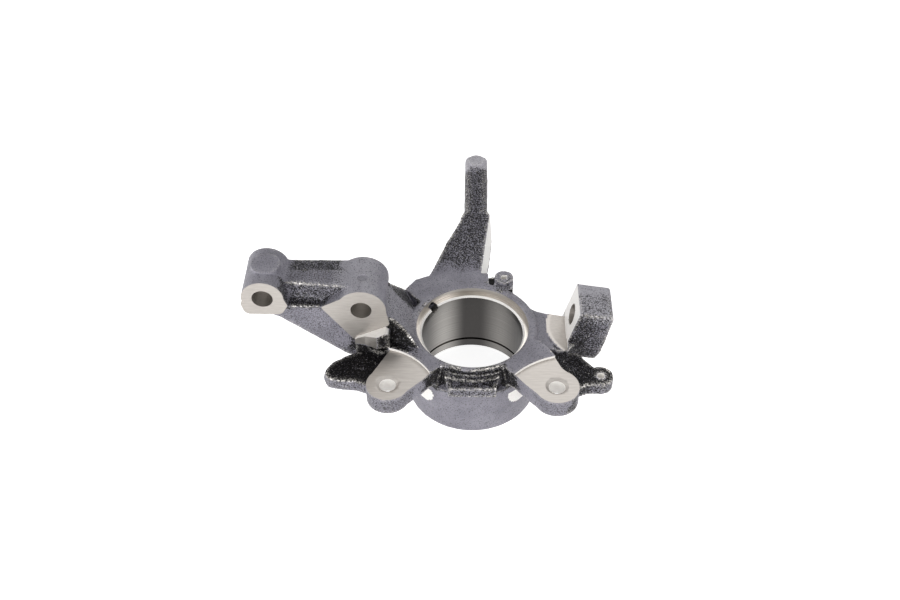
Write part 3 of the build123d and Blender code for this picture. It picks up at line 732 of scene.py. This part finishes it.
def clean_tone(tree, where, lightening):
    """Smooth skin: two greys in clouds, made lighter in some stretches by a stored number."""
    cloud = add_node(tree, "ShaderNodeTexNoise", {
        "Vector": where, "Scale": per_metre(CLOUD), "Detail": 3.0})
    cloud_share = add_node(tree, "ShaderNodeMapRange", {
        "Value": cloud.outputs["Fac"], "From Min": 0.35, "From Max": 0.65})
    greys = add_node(tree, "ShaderNodeMix", {
        "Factor": cloud_share.outputs["Result"],
        FIRST: linear(SMOOTH_IRON_DARK), SECOND: linear(SMOOTH_IRON)}, data_type="RGBA")
    lightened = add_node(tree, "ShaderNodeMix", {
        "Factor": lightening, FIRST: greys.outputs[MIXED], SECOND: linear(LIGHTER_IRON)},
        data_type="RGBA")
    return lightened.outputs[MIXED]


def pitted_and_shaded_tone(tree, clean, grit_and_shade, speck):
    """Clean skin with pits that grow in number and turn from grey to black with the grit; in the
    zones of painted shade this black is painted shade.
    """
    deeper = add_node(tree, "ShaderNodeMapRange", {
        "Value": grit_and_shade, "From Min": 0.0, "From Max": 0.4})
    pit = add_node(tree, "ShaderNodeMix", {
        "Factor": deeper.outputs["Result"], FIRST: linear(PIT), SECOND: linear(COARSE_PIT)},
        data_type="RGBA")
    blacker = add_node(tree, "ShaderNodeMapRange", {
        "Value": grit_and_shade, "From Min": 0.5, "From Max": 1.0})
    pit = add_node(tree, "ShaderNodeMix", {
        "Factor": blacker.outputs["Result"],
        FIRST: pit.outputs[MIXED], SECOND: linear(BLACK_PIT_AND_SHADE)}, data_type="RGBA")
    drop = add_node(tree, "ShaderNodeMath", {
        0: grit_and_shade, 1: PIT_SHARE, 2: speck}, operation="MULTIPLY_ADD")
    pitted = add_node(tree, "ShaderNodeMapRange", {
        "Value": drop.outputs["Value"], "From Min": 0.52, "From Max": 0.7})
    tone = add_node(tree, "ShaderNodeMix", {
        "Factor": pitted.outputs["Result"], FIRST: clean, SECOND: pit.outputs[MIXED]},
        data_type="RGBA")
    return tone.outputs[MIXED]


def grit_glints(tree, grit_and_shade, glitter):
    """Specks of bare iron on coarse skin, most where grit is about 0.8 and fewer above."""
    specks = add_node(tree, "ShaderNodeMapRange", {
        "Value": glitter, "From Min": 0.6, "From Max": 0.68})
    coarse = add_node(tree, "ShaderNodeMapRange", {
        "Value": grit_and_shade, "From Min": 0.1, "From Max": 0.6, "To Max": 0.8})
    shine = add_node(tree, "ShaderNodeMath", {
        0: specks.outputs["Result"], 1: coarse.outputs["Result"]}, operation="MULTIPLY")
    blackest = add_node(tree, "ShaderNodeMapRange", {
        "Value": grit_and_shade, "From Min": 0.82, "From Max": 0.92, "To Min": 1.0, "To Max": 0.4})
    shine = add_node(tree, "ShaderNodeMath", {
        0: shine.outputs["Value"], 1: blackest.outputs["Result"]}, operation="MULTIPLY")
    return shine.outputs["Value"]


def edge_glints(tree, grit_and_shade, rub, glitter):
    """Chips of bare iron along rubbed edges, more of them where the skin is coarse."""
    keen = add_node(tree, "ShaderNodeMapRange", {
        "Value": grit_and_shade, "From Min": 0.0, "From Max": 0.6, "To Min": 0.25, "To Max": 1.25})
    worn = add_node(tree, "ShaderNodeMath", {
        0: rub, 1: keen.outputs["Result"]}, operation="MULTIPLY")
    specks = add_node(tree, "ShaderNodeMapRange", {
        "Value": glitter, "From Min": 0.46, "From Max": 0.6})
    chips = add_node(tree, "ShaderNodeMath", {
        0: specks.outputs["Result"], 1: worn.outputs["Value"]}, operation="MULTIPLY")
    return chips.outputs["Value"]


# %% Cast iron skin
BUMP_DEPTH = 0.3


def cast_iron_skin():
    """Smooth, coarse and black iron by a stored coarseness, the black partly painted shade, with
    glints on coarse skin and edges.
    """
    material, tree, shader = new_material("cast_iron_skin")
    where = add_node(tree, "ShaderNodeTexCoord").outputs["Object"]
    grit_and_shade, rub, lightening = [
        add_node(tree, "ShaderNodeAttribute", attribute_name=name).outputs["Fac"]
        for name in ("grit_and_shade", "rub", "lightening")]
    speck = add_node(tree, "ShaderNodeTexNoise", {
        "Vector": where, "Scale": per_metre(SHOT_MARK), "Detail": 3.0}).outputs["Fac"]
    glitter = add_node(tree, "ShaderNodeTexNoise", {
        "Vector": where, "Scale": per_metre(GLINT_MARK), "Detail": 5.0, "Roughness": 0.75})
    glitter = glitter.outputs["Fac"]
    dark = pitted_and_shaded_tone(tree, clean_tone(tree, where, lightening), grit_and_shade, speck)
    bright = add_node(tree, "ShaderNodeMath", {
        0: grit_glints(tree, grit_and_shade, glitter), 1: edge_glints(tree, grit_and_shade, rub, glitter)},
        operation="MAXIMUM").outputs["Value"]
    colour = add_node(tree, "ShaderNodeMix", {
        "Factor": bright, FIRST: dark, SECOND: linear(GLINT_IRON)}, data_type="RGBA")
    depth = add_node(tree, "ShaderNodeMapRange", {"Value": grit_and_shade, "To Min": 0.2, "To Max": 0.9})
    bump = add_node(tree, "ShaderNodeBump", {
        "Height": speck, "Strength": depth.outputs["Result"], "Distance": BUMP_DEPTH * MM})
    matt = add_node(tree, "ShaderNodeMapRange", {"Value": bright, "To Min": 0.5, "To Max": 0.25})
    bare = add_node(tree, "ShaderNodeMapRange", {"Value": bright, "To Min": 0.05, "To Max": 0.9})
    sheen = add_node(tree, "ShaderNodeMapRange", {
        "Value": grit_and_shade, "From Max": 0.9, "To Min": 0.4, "To Max": 0.1})
    tree.links.new(colour.outputs[MIXED], shader.inputs["Base Color"])
    tree.links.new(bump.outputs["Normal"], shader.inputs["Normal"])
    tree.links.new(matt.outputs["Result"], shader.inputs["Roughness"])
    tree.links.new(bare.outputs["Result"], shader.inputs["Metallic"])
    tree.links.new(sheen.outputs["Result"], shader.inputs["Specular IOR Level"])
    return material


# %% [markdown]
# # The machined faces
# A milling cutter leaves bare iron, light and slightly warm, with fine marks along its path.
# Bare metal is metallic 1; the marks are a stretched noise that moves the tone, the roughness
# and the bump a little.  A lathe's marks run round the bearing's axis, so there the noise
# depends only on the distance from that axis and on the height.

# %% Paths of the cutters
ALONG_X = (0.1, 1.0, 1.0)
FLATTENED = (1, 1, 0)


def milling_path(tree, where):
    """Object coordinates squeezed along X, so that a noise on them is drawn out along X."""
    drawn = add_node(tree, "ShaderNodeMapping", {"Vector": where, "Scale": ALONG_X})
    return drawn.outputs["Vector"]


def turning_path(tree, where):
    """Distance from the bearing's axis and height, so that a noise on them runs in rings."""
    flat = add_node(tree, "ShaderNodeVectorMath", {0: where, 1: FLATTENED}, operation="MULTIPLY")
    from_axis = add_node(tree, "ShaderNodeVectorMath", {
        0: flat.outputs["Vector"]}, operation="LENGTH")
    height = add_node(tree, "ShaderNodeSeparateXYZ", {"Vector": where})
    path = add_node(tree, "ShaderNodeCombineXYZ", {
        "X": from_axis.outputs["Value"], "Z": height.outputs["Z"]})
    return path.outputs["Vector"]


# %% Bare machined iron
ROUGHNESS_SWING = 0.08
MARK_BUMP, MARK_DEPTH = 0.06, 0.08


def machined_iron(name, colour, shade, roughness, mark_mm, cutter_path, metallic=1.0):
    """Bare iron whose tone and gloss follow a noise, mark_mm wide across the cutter's path."""
    material, tree, shader = new_material(name)
    where = add_node(tree, "ShaderNodeTexCoord").outputs["Object"]
    marks = add_node(tree, "ShaderNodeTexNoise", {
        "Vector": cutter_path(tree, where), "Scale": per_metre(mark_mm), "Detail": 3.0})
    marks = marks.outputs["Fac"]
    light = add_node(tree, "ShaderNodeMapRange", {
        "Value": marks, "From Min": 0.3, "From Max": 0.7})
    tone = add_node(tree, "ShaderNodeMix", {
        "Factor": light.outputs["Result"], FIRST: linear(shade), SECOND: linear(colour)},
        data_type="RGBA")
    gloss = add_node(tree, "ShaderNodeMapRange", {
        "Value": marks, "To Min": roughness - ROUGHNESS_SWING,
        "To Max": roughness + ROUGHNESS_SWING})
    bump = add_node(tree, "ShaderNodeBump", {
        "Height": marks, "Strength": MARK_BUMP, "Distance": MARK_DEPTH * MM})
    tree.links.new(tone.outputs[MIXED], shader.inputs["Base Color"])
    tree.links.new(gloss.outputs["Result"], shader.inputs["Roughness"])
    tree.links.new(bump.outputs["Normal"], shader.inputs["Normal"])
    shader.inputs["Metallic"].default_value = metallic
    return material


# %% [markdown]
# # Painted reflections in the bore
# A finished bore, wiped with oil against rust, mirrors the dark and the light of a workshop.
# This studio is white all round, so a mirror in it would be plain white.  The dark and the
# light of those reflections are therefore painted into the colour: a dark tone all round, with
# two lighter bands of painted reflection, a strong one towards the strut and a weaker one
# towards the ball joint.  A colour ramp over the object's X says how much of the iron's own
# lighter colour shows, and the bands keep their places when the piece is turned.

# %% Painted reflection bands over round iron
REFLECTION_REACH = 40.0
# Bands of painted reflection: middle and half-width in mm, and how much of the iron's own
# lighter colour shows.
REFLECTION_BANDS = ((-21, 16, 1.0), (21, 16, 0.5))


def painted_reflection_bands(material, reflection_dark):
    """Paints round iron dark as a reflection, except in two lighter bands of painted reflection."""
    tree = material.node_tree
    shader = tree.nodes["Principled BSDF"]
    bare_colour = shader.inputs["Base Color"].links[0].from_socket
    where = add_node(tree, "ShaderNodeTexCoord").outputs["Object"]
    across = add_node(tree, "ShaderNodeSeparateXYZ", {"Vector": where}).outputs["X"]
    along = add_node(tree, "ShaderNodeMapRange", {
        "Value": across, "From Min": -REFLECTION_REACH * MM, "From Max": REFLECTION_REACH * MM})
    reflection_share = add_node(tree, "ShaderNodeValToRGB", {"Fac": along.outputs["Result"]})
    stops = reflection_share.color_ramp
    stops.interpolation = "EASE"
    humps = []
    for middle, half, bare in REFLECTION_BANDS:
        humps += [(middle - half, 0.0), (middle, bare), (middle + half, 0.0)]
    while len(stops.elements) < len(humps):
        stops.elements.new(0.5)
    for stop, (x_mm, bare) in zip(stops.elements, humps):
        stop.position = (x_mm + REFLECTION_REACH) / (2 * REFLECTION_REACH)
        stop.color = (bare, bare, bare, 1.0)
    reflection_tone = add_node(tree, "ShaderNodeMix", {
        "Factor": reflection_share.outputs["Color"], FIRST: linear(reflection_dark), SECOND: bare_colour},
        data_type="RGBA")
    tree.links.new(reflection_tone.outputs[MIXED], shader.inputs["Base Color"])


# %% The irons of this piece
skin = cast_iron_skin()
# Face-milled iron: satin, with feed marks about 0.3 mm apart, drawn 0.9 mm wide to show.
milled = machined_iron("milled_iron", "b3aea9", "a39e99", 0.48, 0.9, milling_path)
# Fine-bored iron: the smoothest finish here, with rings too fine to see, drawn 0.8 mm wide.
bored = machined_iron("bored_iron", "b8b5b1", "9c9995", 0.3, 0.8, turning_path)
# The bore's dark tone and its two lighter bands are painted reflection.
painted_reflection_bands(bored, "4c4a49")
# Steps and hole walls are cut by the tool's corner.  Their near-white colour with a low metallic
# is partly bare iron and partly a painted highlight, so they look white from everywhere.
painted_highlight_iron = machined_iron("step_iron_painted_highlight", "fffdfa", "f4f1ed", 0.45, 1.0, milling_path, 0.1)
# Turned iron of the seal seat: bright rings about 0.2 mm apart, drawn 0.7 mm wide to show.
turned = machined_iron("turned_iron", "f8f4ef", "bcb6af", 0.32, 0.7, turning_path)
# The seal seat gets the same painted reflection bands over a lighter dark tone.
painted_reflection_bands(turned, "b4afa9")
casting.data.materials.clear()
for material in (skin, milled, bored, painted_highlight_iron, turned):
    casting.data.materials.append(material)
casting.data.polygons.foreach_set("material_index", kinds.astype(np.int32))
casting.data.update()
print("materials:", [material.name for material in casting.data.materials])

# %% [markdown]
# # Crisp edges where a cutter stopped
# Smooth shading blurs the line between a cut and the skin.  Edges steeper than a crease angle
# are marked sharp, and so is each edge between two kinds of face.

# %% Mark the crisp edges
CREASE = math.radians(32)


def kind_borders(mesh, kinds):
    """True for each edge that has faces of two kinds beside it."""
    beside = np.empty(len(mesh.loops), dtype=np.int64)
    mesh.loops.foreach_get("edge_index", beside)
    owner = np.repeat(kinds, face_sizes(mesh))
    lowest = np.full(len(mesh.edges), kinds.max())
    highest = np.zeros(len(mesh.edges), dtype=kinds.dtype)
    np.minimum.at(lowest, beside, owner)
    np.maximum.at(highest, beside, owner)
    return lowest < highest


casting.data.set_sharp_from_angle(angle=CREASE)
casting.data.update()
crisp = np.zeros(len(casting.data.edges), dtype=bool)
sharp_edges = casting.data.attributes["sharp_edge"]
sharp_edges.data.foreach_get("value", crisp)
crisp |= kind_borders(casting.data, kinds)
sharp_edges.data.foreach_set("value", crisp)
casting.data.update()
print("crisp edges:", int(crisp.sum()))

# %% Hand the casting over to the frame
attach(casting, "root")
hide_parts(NODE)
print("dressed:", NODE)


# %% [markdown]
# # The studio
# The casting stands on a white floor that fades into a white background.  Camera rays see
# floor and world at full white, so no extra light has to fall on the metal, and the floor
# still takes the casting's soft shadow.

# %% Floor
FLOOR_SIZE = 6.0
FLOOR_GLOW = 0.86
FLOOR_COLOUR = "f2f2f2"
FLOOR_ROUGHNESS = 0.9
WHITE = (1, 1, 1, 1)


def white_floor():
    """A large plane under the casting, mostly glowing white to the camera."""
    half = FLOOR_SIZE / 2
    corners = [(-half, -half), (half, -half), (half, half), (-half, half)]
    mesh = bpy.data.meshes.new("floor")
    mesh.from_pydata([(x, y, cad_low.z) for x, y in corners], [], [(0, 1, 2, 3)])
    floor = bpy.data.objects.new("floor", mesh)
    bpy.context.scene.collection.objects.link(floor)
    material, tree, shader = new_material("floor_white")
    path = add_node(tree, "ShaderNodeLightPath")
    seen = add_node(tree, "ShaderNodeMath", {
        0: path.outputs["Is Camera Ray"], 1: path.outputs["Is Transmission Ray"]},
        operation="MAXIMUM")
    seen = add_node(tree, "ShaderNodeMath", {
        0: seen.outputs["Value"], 1: path.outputs["Is Glossy Ray"]}, operation="MAXIMUM")
    glow = add_node(tree, "ShaderNodeMath", {
        0: seen.outputs["Value"], 1: FLOOR_GLOW}, operation="MULTIPLY")
    shader.inputs["Base Color"].default_value = linear(FLOOR_COLOUR)
    shader.inputs["Roughness"].default_value = FLOOR_ROUGHNESS
    shader.inputs["Emission Color"].default_value = WHITE
    tree.links.new(glow.outputs["Value"], shader.inputs["Emission Strength"])
    mesh.materials.append(material)
    return floor


floor = white_floor()
print("floor at height, mm:", round(cad_low.z / MM, 3))

# %% World
WORLD_LIGHT = 0.22


def white_world():
    """World that is pure white to camera, glossy and transmission rays, softer as a lamp."""
    world = bpy.data.worlds.new("studio")
    bpy.context.scene.world = world
    world.use_nodes = True
    tree = world.node_tree
    tree.nodes.clear()
    path = add_node(tree, "ShaderNodeLightPath")
    seen = add_node(tree, "ShaderNodeMath", {
        0: path.outputs["Is Camera Ray"], 1: path.outputs["Is Transmission Ray"]},
        operation="MAXIMUM")
    seen = add_node(tree, "ShaderNodeMath", {
        0: seen.outputs["Value"], 1: path.outputs["Is Glossy Ray"]}, operation="MAXIMUM")
    strength = add_node(tree, "ShaderNodeMapRange", {
        "Value": seen.outputs["Value"], "To Min": WORLD_LIGHT, "To Max": 1.0})
    background = add_node(tree, "ShaderNodeBackground", {
        "Color": WHITE, "Strength": strength.outputs["Result"]})
    output = add_node(tree, "ShaderNodeOutputWorld")
    tree.links.new(background.outputs["Background"], output.inputs["Surface"])
    return world


world = white_world()
print("world:", world.name)

# %% Softboxes
# Name, place in metres, side of the square in metres, and power in watts.
LAMPS = (
    ("key", (-0.5, -1.2, 0.4), 0.9, 12.0),
    ("fill", (1.0, -0.6, 0.5), 0.8, 5.0),
    ("left", (-1.2, 0.3, 0.5), 0.7, 5.0),
    ("back", (0.3, 1.0, 1.0), 0.6, 3.0),
)
LAMP_TARGET = Vector((-0.02, 0.02, 0.05))


def softbox(name, spot, size, watts):
    """A square area lamp at spot that faces the casting."""
    lamp = bpy.data.lights.new(name, "AREA")
    lamp.shape = "SQUARE"
    lamp.size = size
    lamp.energy = watts
    made = bpy.data.objects.new(name, lamp)
    made.location = spot
    made.rotation_euler = (LAMP_TARGET - Vector(spot)).to_track_quat("-Z", "Y").to_euler()
    bpy.context.scene.collection.objects.link(made)
    return made


for lamp in LAMPS:
    softbox(*lamp)
print("softboxes:", [name for name, *_ in LAMPS])

# %% [markdown]
# # The camera
# A product shot from above and slightly to one side.  The camera is placed by its direction,
# its distance and what its middle looks at, so that each of them can be changed by itself.

# %% Camera
LOOK_DOWN = math.radians(43.508)
LOOK_ASIDE = math.radians(-1.005)
DISTANCE_MM = 824.75
FOCUS_MM = np.array([0.0, 0.0, HUB_TOP])
SHIFT_RIGHT_MM, SHIFT_UP_MM = 15.96, -17.863
LENS_MM = 46.572
SENSOR_MM = 36.0
NEAREST_M = 0.01


def studio_camera():
    """Camera whose axes are right, up and backwards, built from the look-down angle."""
    down, aside = LOOK_DOWN, LOOK_ASIDE
    forward = np.array([
        math.sin(aside) * math.cos(down), math.cos(aside) * math.cos(down), -math.sin(down)])
    right = np.array([math.cos(aside), -math.sin(aside), 0.0])
    up = np.cross(right, forward)
    spot = FOCUS_MM - DISTANCE_MM * forward - SHIFT_RIGHT_MM * right - SHIFT_UP_MM * up
    lens = bpy.data.cameras.new("camera")
    lens.lens = LENS_MM
    lens.sensor_width = SENSOR_MM
    lens.clip_start = NEAREST_M
    made = bpy.data.objects.new("camera", lens)
    turned = np.stack([right, up, -forward], axis=1)
    made.matrix_world = Matrix.Translation(Vector(spot * MM)) @ Matrix(turned.tolist()).to_4x4()
    bpy.context.scene.collection.objects.link(made)
    bpy.context.scene.camera = made
    return made


camera = studio_camera()
bpy.context.scene.view_settings.view_transform = "Standard"
print("camera at, mm:", [round(value / MM, 1) for value in camera.location])
